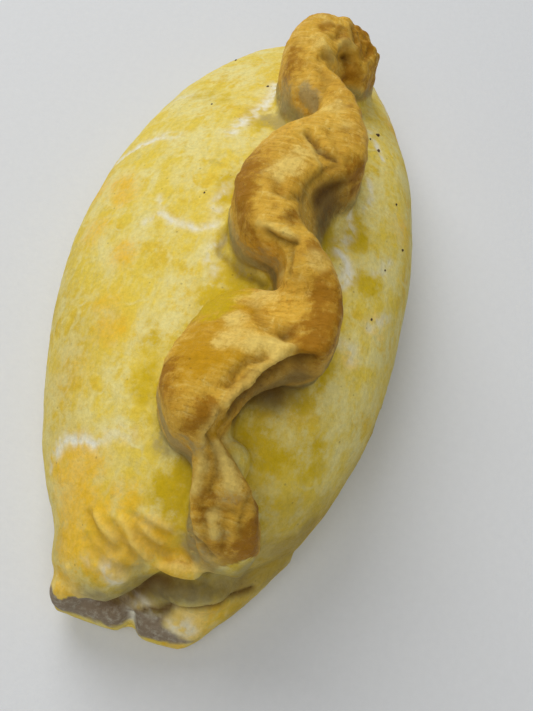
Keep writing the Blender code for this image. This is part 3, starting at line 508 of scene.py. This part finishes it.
def ball(name, sides, steps):
    """A unit ball whose poles lie on X, to be drawn out into a long shape."""
    bpy.ops.mesh.primitive_uv_sphere_add(segments=sides, ring_count=steps, rotation=(0, math.pi / 2, 0))
    made = bpy.context.object
    made.name = name
    bpy.ops.object.transform_apply(rotation=True)
    return made


def points_of(mesh):
    points = np.empty(len(mesh.vertices) * 3)
    mesh.vertices.foreach_get("co", points)
    return points.reshape(-1, 3)


def set_points(mesh, points):
    mesh.vertices.foreach_set("co", points.astype(np.float32).ravel())
    mesh.update()


def normals_of(mesh):
    normals = np.empty(len(mesh.vertices) * 3)
    mesh.vertex_normals.foreach_get("vector", normals)
    return normals.reshape(-1, 3)


def stations_of(points, end_share):
    """For each point of a unit ball: its place along the shape, 0 to 1, how far it is from the middle of an
    end face, 0 to 1, and its direction across."""
    along = 1 - np.arccos(np.clip(points[:, 0], -1, 1)) / math.pi
    end_fill = np.clip(np.minimum(along, 1 - along) / end_share, 0, 1)
    across = np.arctan2(points[:, 2], points[:, 1])
    return np.clip((along - end_share) / (1 - 2 * end_share), 0, 1), end_fill, across


def loaf(name, near, far, left, right, top, widest, bottom, lean, powers):
    """A long plump shape, flattened below and cut across at both ends."""
    made = ball(name, LOAF_SIDES, LOAF_STEPS)
    along, end_fill, across = stations_of(points_of(made.data), END_SHARE)
    x = near + (far - near) * along
    left, right = smooth_curve(left, x), smooth_curve(right, x)
    top, widest, bottom = smooth_curve(top, x), smooth_curve(widest, x), smooth_curve(bottom, x)
    side, up = np.cos(across), np.sin(across)
    y = (left + right) / 2 + (left - right) / 2 * signed_power(side, powers[0]) * end_fill
    above = (top - widest) * np.abs(up) ** powers[1]
    below = (bottom - widest) * np.abs(up) ** powers[2]
    z = widest + np.where(up > 0, above, below) * end_fill
    upper = np.clip((z - widest) / (top - widest), 0, 1)
    y += smooth_curve(lean, x) * upper**2
    set_points(made.data, np.stack([x, y, z], 1) * MM)
    return made


def case():
    """The filled case, with the right side of its near end set back above the tongue."""
    made = loaf("case", NEAR_END, FAR_END, LEFT_FLANK, RIGHT_FLANK, BACK, WIDEST, UNDERSIDE, BACK_LEAN,
                CASE_POWERS)
    points = points_of(made.data) / MM
    frontness = np.clip((NEAR_END + SET_BACK_LENGTH - points[:, 0]) / SET_BACK_LENGTH, 0, 1)
    rightness = np.clip(0.5 - (points[:, 1] - SET_BACK_MIDDLE) / SET_BACK_WIDTH, 0, 1)
    points[:, 0] += SET_BACK * frontness * rightness
    set_points(made.data, points * MM)
    return made


def tongue():
    return loaf("tongue", TONGUE_NEAR, TONGUE_FAR, TONGUE_LEFT, TONGUE_RIGHT, TONGUE_TOP, TONGUE_WIDEST,
                TONGUE_UNDER, TONGUE_LEAN, TONGUE_POWERS)


def roll(middle, half_sizes):
    made = ball("roll", ROLL_SIDES, ROLL_STEPS)
    set_points(made.data, (points_of(made.data) * half_sizes + middle) * MM)
    return made


def seam():
    """The standing seam: a wall with a rounded cap that zigzags along the back and spreads at its foot."""
    made = ball("seam", SEAM_SIDES, SEAM_STEPS)
    along, end_fill, across = stations_of(points_of(made.data), SEAM_END_SHARE)
    bends = np.array(SEAM, float)
    middles = (bends[:, :3] + bends[:, 3:]) / 2
    steps = np.linalg.norm(np.diff(middles, axis=0), axis=1)
    reach = np.concatenate([[0], np.cumsum(steps)])
    edges = smooth_curve([(r, *bend) for r, bend in zip(reach, bends)], along * reach[-1])
    left, right = edges[:, :3], edges[:, 3:]
    middle, half = (left + right) / 2, (left - right) / 2
    width = np.linalg.norm(half[:, :2], axis=1)
    side, up = np.cos(across), np.sin(across)
    rise, fall = np.clip(up, 0, 1), np.clip(-up, 0, 1)
    spread = 1 + SEAM_SPREAD / width * fall**SPREAD_POWER
    offset = np.where(up > 0, signed_power(side, CREST_POWER), signed_power(side, WALL_POWER))
    offset *= end_fill * spread
    crest = middle[:, 2] + half[:, 2] * np.clip(offset, -1, 1)
    shoulder = crest + np.minimum(SEAM_CAP, width) * (rise**CAP_POWER * end_fill - 1)
    root = smooth_curve(BACK, middle[:, 0]) - SEAM_ROOT
    feet = smooth_curve(SEAM_FOOT, np.interp(along * reach[-1], reach, np.arange(len(bends))))
    leftness = (1 + np.clip(offset, -1, 1))[:, None] / 2
    lean = (feet[:, :2] * leftness + feet[:, 2:] * (1 - leftness)) * fall[:, None] ** SPREAD_POWER
    x = middle[:, 0] + half[:, 0] * offset + lean[:, 0]
    y = middle[:, 1] + half[:, 1] * offset + lean[:, 1]
    z = shoulder + (root - shoulder) * fall
    set_points(made.data, np.stack([x, y, z], 1) * MM)
    return made


def evaluated(made):
    """Applies the object's modifiers to its mesh."""
    bpy.context.view_layer.update()
    graph = bpy.context.evaluated_depsgraph_get()
    mesh = bpy.data.meshes.new_from_object(made.evaluated_get(graph))
    old = made.data
    made.modifiers.clear()
    made.data = mesh
    mesh.name = made.name
    bpy.data.meshes.remove(old)


def skinned(name, pieces):
    """One closed skin round all the pieces, with the joints between them rounded."""
    union = bmesh.new()
    for piece in pieces:
        union.from_mesh(piece.data)
        bpy.data.objects.remove(piece)
    mesh = bpy.data.meshes.new(name)
    union.to_mesh(mesh)
    union.free()
    made = bpy.data.objects.new(name, mesh)
    bpy.context.scene.collection.objects.link(made)
    skin = made.modifiers.new("skin", "REMESH")
    skin.mode = "VOXEL"
    skin.voxel_size = SKIN_STEP * MM
    soften = made.modifiers.new("soften", "SMOOTH")
    soften.factor = SKIN_SMOOTHING
    soften.iterations = SKIN_PASSES
    evaluated(made)
    return made


def distance_to(path, points):
    """Distance from each point to the nearest place on a path of straight lines."""
    nearest = np.full(len(points), np.inf)
    for start, end in zip(path, path[1:] or path):
        start, line = np.array(start, float), np.array(end, float) - start
        share = np.clip((points - start) @ line / max(line @ line, 1e-9), 0, 1)
        nearest = np.minimum(nearest, np.linalg.norm(points - start - share[:, None] * line, axis=1))
    return nearest


def noise_at(points, size):
    return np.array([noise.noise(Vector(point)) for point in points / size])


def wave_at(points, size):
    """Three noises at once, to push points sideways with."""
    return np.array([noise.noise_vector(Vector(point)) for point in points / size])


def blob(points, middle, reach):
    """1 round the middle and 0 far from it."""
    return np.clip(PATCH_FILL * np.exp(-((np.linalg.norm(points - middle, axis=1) / reach) ** 2)), 0, 1)


def laid(path, points, tree):
    """The path in short steps, each laid on the nearest point of the skin."""
    steps = [path[0]]
    for start, end in zip(path, path[1:]):
        start, end = np.array(start, float), np.array(end, float)
        count = max(1, round(np.linalg.norm(end - start) / PATH_STEP))
        steps += [start + (end - start) * (i + 1) / count for i in range(count)]
    return [tuple(points[tree.find(step)[1]]) for step in steps]


def nearness(path, width, points, tree):
    """1 on the path, once it is laid on the skin, and 0 far from it."""
    return np.exp(-((distance_to(laid(path, points, tree), points) / width) ** 2))


def rising(low, high, value):
    t = np.clip((value - low) / (high - low), 0, 1)
    return t * t * (3 - 2 * t)


def height_above(points, tree):
    """How far each point stands above the filled case, straight down."""
    heights = np.zeros(len(points))
    for i, point in enumerate(points):
        start = Vector((point[0] * MM, point[1] * MM, OVERHEAD))
        hit = tree.ray_cast(start, Vector((0, 0, -1)))[0]
        heights[i] = point[2] - hit.z / MM if hit else 0.0
    return heights


def finder(points):
    tree = KDTree(len(points))
    for i, point in enumerate(points):
        tree.insert(point, i)
    tree.balance()
    return tree


def distance_from(points, chosen):
    """How far each point is from the nearest of the chosen ones."""
    tree = finder(chosen)
    return np.array([tree.find(point)[2] for point in points])


def pasty():
    """The whole skin with its fine relief, and what its colours follow, kept as values on its points. Gives
    the piece, and how far it was moved to lie over the origin."""
    shell = case()
    graph = bpy.context.evaluated_depsgraph_get()
    tree = BVHTree.FromObject(shell, graph)
    pieces = [shell, seam(), tongue(), *(roll(middle, half_sizes) for middle, half_sizes in ROLLS)]
    made = skinned("pasty_crust", pieces)
    mesh = made.data
    points = points_of(mesh) / MM
    normals = normals_of(mesh)
    crisp, fine, coarse = (noise_at(points, size) for size in (CRISP_SIZE, FINE_SIZE, COARSE_SIZE))

    lift = SWELL_HEIGHT * noise_at(points, SWELL_SIZE)
    for path, width, depth in CREASES:
        lift -= depth * np.exp(-((distance_to(path, points) / width) ** 2))
    torn = np.exp(-((np.linalg.norm(points - TORN, axis=1) / TORN_REACH) ** 4))
    lift += CRAG_HEIGHT * torn * noise_at(points, CRAG_SIZE)
    lift += SPLINTER_HEIGHT * torn * noise_at(points, SPLINTER_SIZE)
    points += normals * lift[:, None]
    bent = points + BEND * wave_at(points, BEND_SIZE)
    skin = finder(bent)

    lift = np.zeros(len(points))
    fold_and_shade = np.zeros(len(points))
    for path, width, depth, brown in WRINKLES:
        near = nearness(path, width, bent, skin)
        lift -= depth * near
        fold_and_shade = np.maximum(fold_and_shade, brown * near)
    welt_and_highlight = np.zeros(len(points))
    for path, width, height in WELTS:
        near = nearness(path, width, bent, skin)
        lift += height * near
        welt_and_highlight = np.maximum(welt_and_highlight, near)

    flour = np.zeros(len(points))
    for path, width, strength in CRACKS:
        near = nearness(path, width, bent, skin)
        flour = np.maximum(flour, strength * near)
    flour *= np.clip(FLOUR_COVER + FLOUR_GAPS * noise_at(points, FLOUR_GAP_SIZE) + FLOUR_GRAIN * crisp, 0, 1)
    lift -= FLOUR_DEPTH * flour

    above = height_above(points, tree)
    web = rising(*WEB_FADE, np.linalg.norm(points - np.array(WEB), axis=1))
    raised = rising(*STANDING_HEIGHT, above) * rising(*STANDING_FROM, points[:, 0])
    standing = raised * web
    crown = rising(*CROWN_HEIGHT, above)
    away = distance_from(points, points[(raised > FOOT_LOW) & (raised < FOOT_HIGH)])
    glaze = np.exp(-((away / GLAZE_REACH) ** 2)) * rising(*GLAZE_FROM, points[:, 0])
    leaves = LEAF_HEIGHT * standing * noise_at(points, LEAF_SIZE)
    lift += FINE_HEIGHT * fine + COARSE_HEIGHT * coarse * (1 - standing) + leaves
    lift += CRISP_HEIGHT * standing * crisp + FLAKE_HEIGHT * torn * np.abs(noise_at(points, FLAKE_SIZE))

    # The cut face, whose grey is in part painted shade.
    front = rising(*CUT_FROM, points[:, 0]) * rising(*CUT_FACING, normals[:, 0])
    edge = points[:, 1] + CUT_RIGHT + CUT_SLANT * (CUT_CORNER - points[:, 2]) + fine
    shaded_cut = front * rising(*CUT_BOTTOM, points[:, 2] + fine) * (points[:, 2] < CUT_TOP)
    shaded_cut *= rising(-CUT_SOFTNESS, CUT_SOFTNESS, edge)
    values = {"standing": standing, "crown": crown, "glaze": glaze, "flour": flour, "fold_and_shade": fold_and_shade,
              "welt_and_highlight": welt_and_highlight, "shaded_cut": shaded_cut}
    for kind, patches in PATCHES.items():
        values[kind] = np.zeros(len(points))
        for x, y, z, reach, strength in patches:
            nearest = bent[skin.find((x, y, z))[1]]
            values[kind] = np.maximum(values[kind], strength * blob(bent, nearest, reach))
    for name, value in values.items():
        layer = mesh.attributes.new(name, "FLOAT", "POINT")
        layer.data.foreach_set("value", np.clip(value, 0, 1).astype(np.float32))

    points += normals * lift[:, None]
    points[:, 2] = np.maximum(points[:, 2], 0.0)
    shift = -(points.min(axis=0) + points.max(axis=0)) / 2
    shift[2] = 0.0
    set_points(mesh, (points + shift) * MM)
    mesh.shade_smooth()
    mesh.materials.append(crust_material())
    return made, shift


class Nodes:
    """A short way to write a material's nodes."""

    def __init__(self, name):
        self.material = bpy.data.materials.new(name)
        self.material.use_nodes = True
        self.tree = self.material.node_tree
        self.shader = self.tree.nodes["Principled BSDF"]

    def new(self, kind, **settings):
        node = self.tree.nodes.new(kind)
        for key, value in settings.items():
            setattr(node, key, value)
        return node

    def join(self, source, target):
        self.tree.links.new(source, target)

    def value(self, name):
        return self.new("ShaderNodeAttribute", attribute_name=name).outputs["Fac"]

    def places(self):
        return self.new("ShaderNodeTexCoord").outputs["Object"]

    def stretched(self, sizes_mm):
        """Places squeezed so that a noise of size 1 mm comes out with these sizes along X, Y and Z."""
        node = self.new("ShaderNodeMapping")
        node.inputs["Scale"].default_value = [1.0 / size for size in sizes_mm]
        self.join(self.places(), node.inputs["Vector"])
        return node.outputs["Vector"]

    def dots(self, spacing_mm, reach):
        """Small round dots, each as wide as that share of the spacing."""
        node = self.new("ShaderNodeTexVoronoi")
        node.inputs["Scale"].default_value = 1.0 / (spacing_mm * MM)
        self.join(self.places(), node.inputs["Vector"])
        return self.ramp(node.outputs["Distance"], reach, 0.4 * reach)

    def web(self, size_mm, width):
        """A network of thin lines between cells of that size."""
        bent = self.new("ShaderNodeVectorMath", operation="ADD")
        push = self.new("ShaderNodeVectorMath", operation="SCALE")
        wave = self.new("ShaderNodeTexNoise")
        wave.inputs["Scale"].default_value = 2.0 / (size_mm * MM)
        push.inputs["Scale"].default_value = 0.6 * size_mm * MM
        self.join(self.places(), wave.inputs["Vector"])
        self.join(wave.outputs["Color"], push.inputs[0])
        self.join(self.places(), bent.inputs[0])
        self.join(push.outputs["Vector"], bent.inputs[1])
        node = self.new("ShaderNodeTexVoronoi", feature="DISTANCE_TO_EDGE")
        node.inputs["Scale"].default_value = 1.0 / (size_mm * MM)
        self.join(bent.outputs["Vector"], node.inputs["Vector"])
        return self.ramp(node.outputs["Distance"], width, 0.0)

    def noise(self, size_mm, detail=4.0, roughness=0.6, bend=0.0, at=None):
        node = self.new("ShaderNodeTexNoise")
        node.inputs["Scale"].default_value = 1.0 / (size_mm * MM)
        node.inputs["Detail"].default_value = detail
        node.inputs["Roughness"].default_value = roughness
        node.inputs["Distortion"].default_value = bend
        self.join(at or self.places(), node.inputs["Vector"])
        return node.outputs["Fac"]

    def math(self, kind, first, second, clamp=False):
        node = self.new("ShaderNodeMath", operation=kind, use_clamp=clamp)
        for socket, item in zip(node.inputs, (first, second)):
            if isinstance(item, (int, float)):
                socket.default_value = item
            else:
                self.join(item, socket)
        return node.outputs["Value"]

    def broken(self, name, by):
        """A soft patch whose edge is broken up by a noise."""
        value = self.value(name)
        change = self.math("MULTIPLY", self.math("SUBTRACT", by, 0.5), PATCH_BREAKUP)
        changed = self.math("ADD", value, change)
        return self.ramp(self.math("MULTIPLY", changed, self.ramp(value, 0.0, 0.5)), 0.0, 1.0)

    def ramp(self, source, low, high):
        node = self.new("ShaderNodeMapRange", interpolation_type="SMOOTHSTEP")
        node.inputs["From Min"].default_value = low
        node.inputs["From Max"].default_value = high
        self.join(source, node.inputs["Value"])
        return node.outputs["Result"]

    def mix(self, amount, first, second):
        node = self.new("ShaderNodeMix", data_type="RGBA")
        self.join(amount, node.inputs["Factor"])
        for name, item in (("A", first), ("B", second)):
            socket = [s for s in node.inputs if s.name == name and s.type == "RGBA"][0]
            if isinstance(item, tuple):
                socket.default_value = item
            else:
                self.join(item, socket)
        return [s for s in node.outputs if s.type == "RGBA"][0]

    def tint(self, under, over, value, share):
        """One colour laid over another by the value, and never by more than that share."""
        return self.mix(self.math("MULTIPLY", value, share), under, over)

    def bump(self, height, depth_mm, previous=None):
        node = self.new("ShaderNodeBump")
        node.inputs["Strength"].default_value = 1.0
        node.inputs["Distance"].default_value = depth_mm * MM
        self.join(height, node.inputs["Height"])
        if previous:
            self.join(previous, node.inputs["Normal"])
        return node.outputs["Normal"]


def crust_material():
    """Egg-glazed shortcrust: mottled cream and yellow, golden where it stands up, brown in its folds, with
    painted shade in folds and hollows and painted highlight on raised edges.
    """
    n = Nodes("crust")
    cloud = n.noise(13.0, 5.0, 0.65, 0.6)
    patch = n.noise(4.5, 6.0, 0.7)
    grain = n.noise(0.9, 5.0, 0.7)
    ragged = n.math("ADD", n.math("MULTIPLY", patch, 0.5), n.math("MULTIPLY", n.noise(1.8, 6.0, 0.75), 0.5))
    ragged = n.ramp(ragged, 0.38, 0.62)
    flake = n.noise(2.2, 6.0, 0.75, 0.4, n.stretched((1.6, 0.8, 1.0)))
    streak = n.noise(1.0, 5.0, 0.65, 0.3, n.stretched((14.0, 4.0, 4.0)))
    strand = n.noise(1.0, 6.0, 0.7, 0.5, n.stretched((0.9, 5.0, 2.5)))
    mottle = n.math("ADD", n.math("MULTIPLY", cloud, 0.45), n.math("MULTIPLY", patch, 0.25))
    mottle = n.math("ADD", mottle, n.math("MULTIPLY", streak, 0.30))
    colour = n.mix(n.ramp(mottle, 0.42, 0.56), DOUGH_CREAM, DOUGH_YELLOW)
    colour = n.tint(colour, DOUGH_GOLD, n.ramp(n.noise(9.0, 6.0, 0.75), 0.52, 0.66), 0.7)
    colour = n.tint(colour, DOUGH_OLIVE, n.ramp(n.noise(6.0, 6.0, 0.75, 0.8), 0.56, 0.70), 0.5)
    colour = n.tint(colour, DOUGH_GOLD, n.ramp(n.noise(1.5, 6.0, 0.8), 0.53, 0.66), 0.45)
    colour = n.mix(n.math("MULTIPLY", n.web(9.0, 0.10), n.ramp(patch, 0.40, 0.70)), colour, DOUGH_CREAM)
    spread = n.math("MULTIPLY", n.value("glaze"), n.ramp(patch, 0.38, 0.62), True)
    colour = n.tint(colour, GLAZE_YELLOW, spread, 0.8)
    colour = n.tint(colour, BAKED_GOLD, n.value("baked"), 0.45)
    colour = n.tint(colour, BAKED_GOLD, n.broken("baked", ragged), 0.5)
    # Browner low on the flanks, partly painted shade.
    colour = n.tint(colour, TAN_AND_SHADE_BROWN, n.value("tan_and_shade"), 0.8)

    tone = n.math("ADD", n.value("crown"), n.math("MULTIPLY", n.math("SUBTRACT", patch, 0.5), 0.7), True)
    crust = n.mix(n.ramp(tone, 0.0, 0.6), CRUST_PALE, CRUST_GOLD)
    crust = n.tint(crust, CRUST_AMBER, n.ramp(cloud, 0.45, 0.62), 0.4)
    crust = n.tint(crust, CRUST_AMBER, n.ramp(flake, 0.52, 0.70), 0.8)
    crust = n.tint(crust, CRUST_CREAM, n.ramp(flake, 0.47, 0.30), 0.75)
    crust = n.tint(crust, CRUST_AMBER, n.ramp(strand, 0.52, 0.66), 0.7)
    crust = n.tint(crust, CRUST_CREAM, n.ramp(strand, 0.48, 0.34), 0.5)
    crust = n.tint(crust, RIDGE_GOLD, n.broken("baked", ragged), 0.9)
    crust = n.tint(crust, CRUST_BROWN, n.broken("toast", ragged), 0.95)
    colour = n.mix(n.value("standing"), colour, crust)
    colour = n.tint(colour, GLAZE_YELLOW, n.broken("stain", ragged), 0.9)
    # Pale patches, partly painted highlight.
    colour = n.tint(colour, CRUST_CREAM, n.broken("cream_and_highlight", ragged), 0.85)
    colour = n.tint(colour, CRUST_GREY, n.broken("grey", ragged), 0.65)
    # Painted shade in the hollows and under the overhangs.
    colour = n.tint(colour, PAINTED_SHADE_BROWN, n.value("painted_shade"), 0.85)
    # Paler raised edges, partly painted highlight.
    colour = n.tint(colour, CRUST_CREAM, n.value("welt_and_highlight"), 0.6)
    # The cut face's grey, in part painted shade, with flour showing through.
    crumb = n.tint(SHADED_CUT_GREY, FLOUR_WHITE, n.ramp(n.noise(1.4, 5.0, 0.7), 0.45, 0.7), 0.3)
    colour = n.mix(n.value("shaded_cut"), colour, crumb)
    colour = n.mix(n.value("flour"), colour, FLOUR_WHITE)
    # Brown in the folds, partly painted shade in the creases.
    colour = n.tint(colour, FOLD_BROWN, n.value("fold_and_shade"), 0.85)
    colour = n.tint(colour, FOLD_BROWN, n.dots(3.6, 0.09), 0.35)
    dim = n.new("ShaderNodeHueSaturation")
    n.join(n.math("ADD", n.math("MULTIPLY", grain, 0.5), 0.75), dim.inputs["Value"])
    n.join(colour, dim.inputs["Color"])
    n.join(dim.outputs["Color"], n.shader.inputs["Base Color"])
    n.join(n.math("ADD", n.math("MULTIPLY", patch, 0.3), 0.4), n.shader.inputs["Roughness"])
    n.shader.inputs["Specular IOR Level"].default_value = CRUST_SHINE
    normal = n.bump(n.noise(0.7, 3.0, 0.65), 0.08)
    normal = n.bump(flake, 0.35, normal)
    normal = n.bump(n.math("MULTIPLY", strand, n.value("standing")), 0.5, normal)
    n.join(n.bump(patch, 0.3, normal), n.shader.inputs["Normal"])
    return n.material


def speck_material():
    n = Nodes("specks")
    colour = n.mix(n.noise(0.3), SPECK_DARK, FOLD_BROWN)
    n.join(colour, n.shader.inputs["Base Color"])
    n.shader.inputs["Roughness"].default_value = 0.8
    n.join(n.bump(n.noise(0.2), 0.05), n.shader.inputs["Normal"])
    return n.material


def specks(crust, shift):
    """Tiny dark flakes pressed into the crust, one mesh for all of them."""
    skin = points_of(crust.data) / MM
    joined = bmesh.new()
    for index, (place, size) in enumerate(SPECKS):
        nearest = skin[np.argmin(np.linalg.norm(skin - (np.array(place) + shift), axis=1))]
        grown = bmesh.ops.create_icosphere(joined, subdivisions=2, radius=size * MM)["verts"]
        for vert in grown:
            spot = vert.co / (SPECK_GRAIN * MM) + Vector((index * SPECK_VARIETY, 0, 0))
            push = 1 + SPECK_ROUGHNESS * noise.noise(spot)
            flat = Vector([part * share for part, share in zip(vert.co, SPECK_SHAPE)])
            vert.co = flat * push + Vector(nearest * MM)
    mesh = bpy.data.meshes.new("specks")
    joined.to_mesh(mesh)
    joined.free()
    mesh.shade_smooth()
    mesh.materials.append(speck_material())
    made = bpy.data.objects.new("specks", mesh)
    bpy.context.scene.collection.objects.link(made)
    return made


def floor():
    bpy.ops.mesh.primitive_plane_add(size=FLOOR_WIDTH, location=(0, 0, -FLOOR_GAP))
    made = bpy.context.object
    made.name = "floor"
    n = Nodes("floor")
    shade = n.math("ADD", n.math("MULTIPLY", n.noise(2.0, 4.0), 0.06), 0.97)
    dim = n.new("ShaderNodeHueSaturation")
    dim.inputs["Color"].default_value = FLOOR_PALE
    n.join(shade, dim.inputs["Value"])
    n.join(dim.outputs["Color"], n.shader.inputs["Base Color"])
    n.shader.inputs["Roughness"].default_value = 0.85
    n.join(n.bump(n.noise(1.2, 4.0), 0.08), n.shader.inputs["Normal"])
    made.data.materials.append(n.material)
    return made


def lamp(name, place, target, size, power):
    light = bpy.data.lights.new(name, "AREA")
    light.shape = "DISK"
    light.size = size
    light.energy = power
    made = bpy.data.objects.new(name, light)
    bpy.context.scene.collection.objects.link(made)
    made.location = place
    made.rotation_euler = (Vector(target) - Vector(place)).to_track_quat("-Z", "Y").to_euler()


def camera(shift):
    ahead = Vector((math.cos(CAMERA_HEADING), math.sin(CAMERA_HEADING), 0))
    right = Vector((math.sin(CAMERA_HEADING), -math.cos(CAMERA_HEADING), 0))
    up = Vector((0, 0, 1))
    look = math.sin(CAMERA_TILT) * ahead - math.cos(CAMERA_TILT) * up
    rise = math.cos(CAMERA_TILT) * ahead + math.sin(CAMERA_TILT) * up
    across = math.cos(CAMERA_ROLL) * right + math.sin(CAMERA_ROLL) * rise
    upward = math.cos(CAMERA_ROLL) * rise - math.sin(CAMERA_ROLL) * right
    lens = bpy.data.cameras.new("camera")
    lens.sensor_fit = "VERTICAL"
    lens.sensor_height = SENSOR
    lens.lens = CAMERA_LENS
    lens.clip_start = 0.01
    made = bpy.data.objects.new("camera", lens)
    bpy.context.scene.collection.objects.link(made)
    turn = Matrix((across, upward, -look)).transposed().to_4x4()
    made.matrix_world = Matrix.Translation(Vector((CAMERA_PLACE + shift) * MM)) @ turn
    bpy.context.scene.camera = made


def light_up():
    world = bpy.data.worlds.new("studio")
    bpy.context.scene.world = world
    world.use_nodes = True
    background = world.node_tree.nodes["Background"]
    background.inputs["Color"].default_value = SKY_COLOUR
    background.inputs["Strength"].default_value = SKY
    for name, (place, width, power) in LAMPS.items():
        lamp(name, place, LAMPS_AIM, width, power)
    bpy.context.scene.view_settings.view_transform = "Standard"


crust, shift = pasty()
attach(crust, "root")
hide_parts("pasty")
flecks = specks(crust, shift)
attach(flecks, "root")
floor()
camera(shift)
light_up()
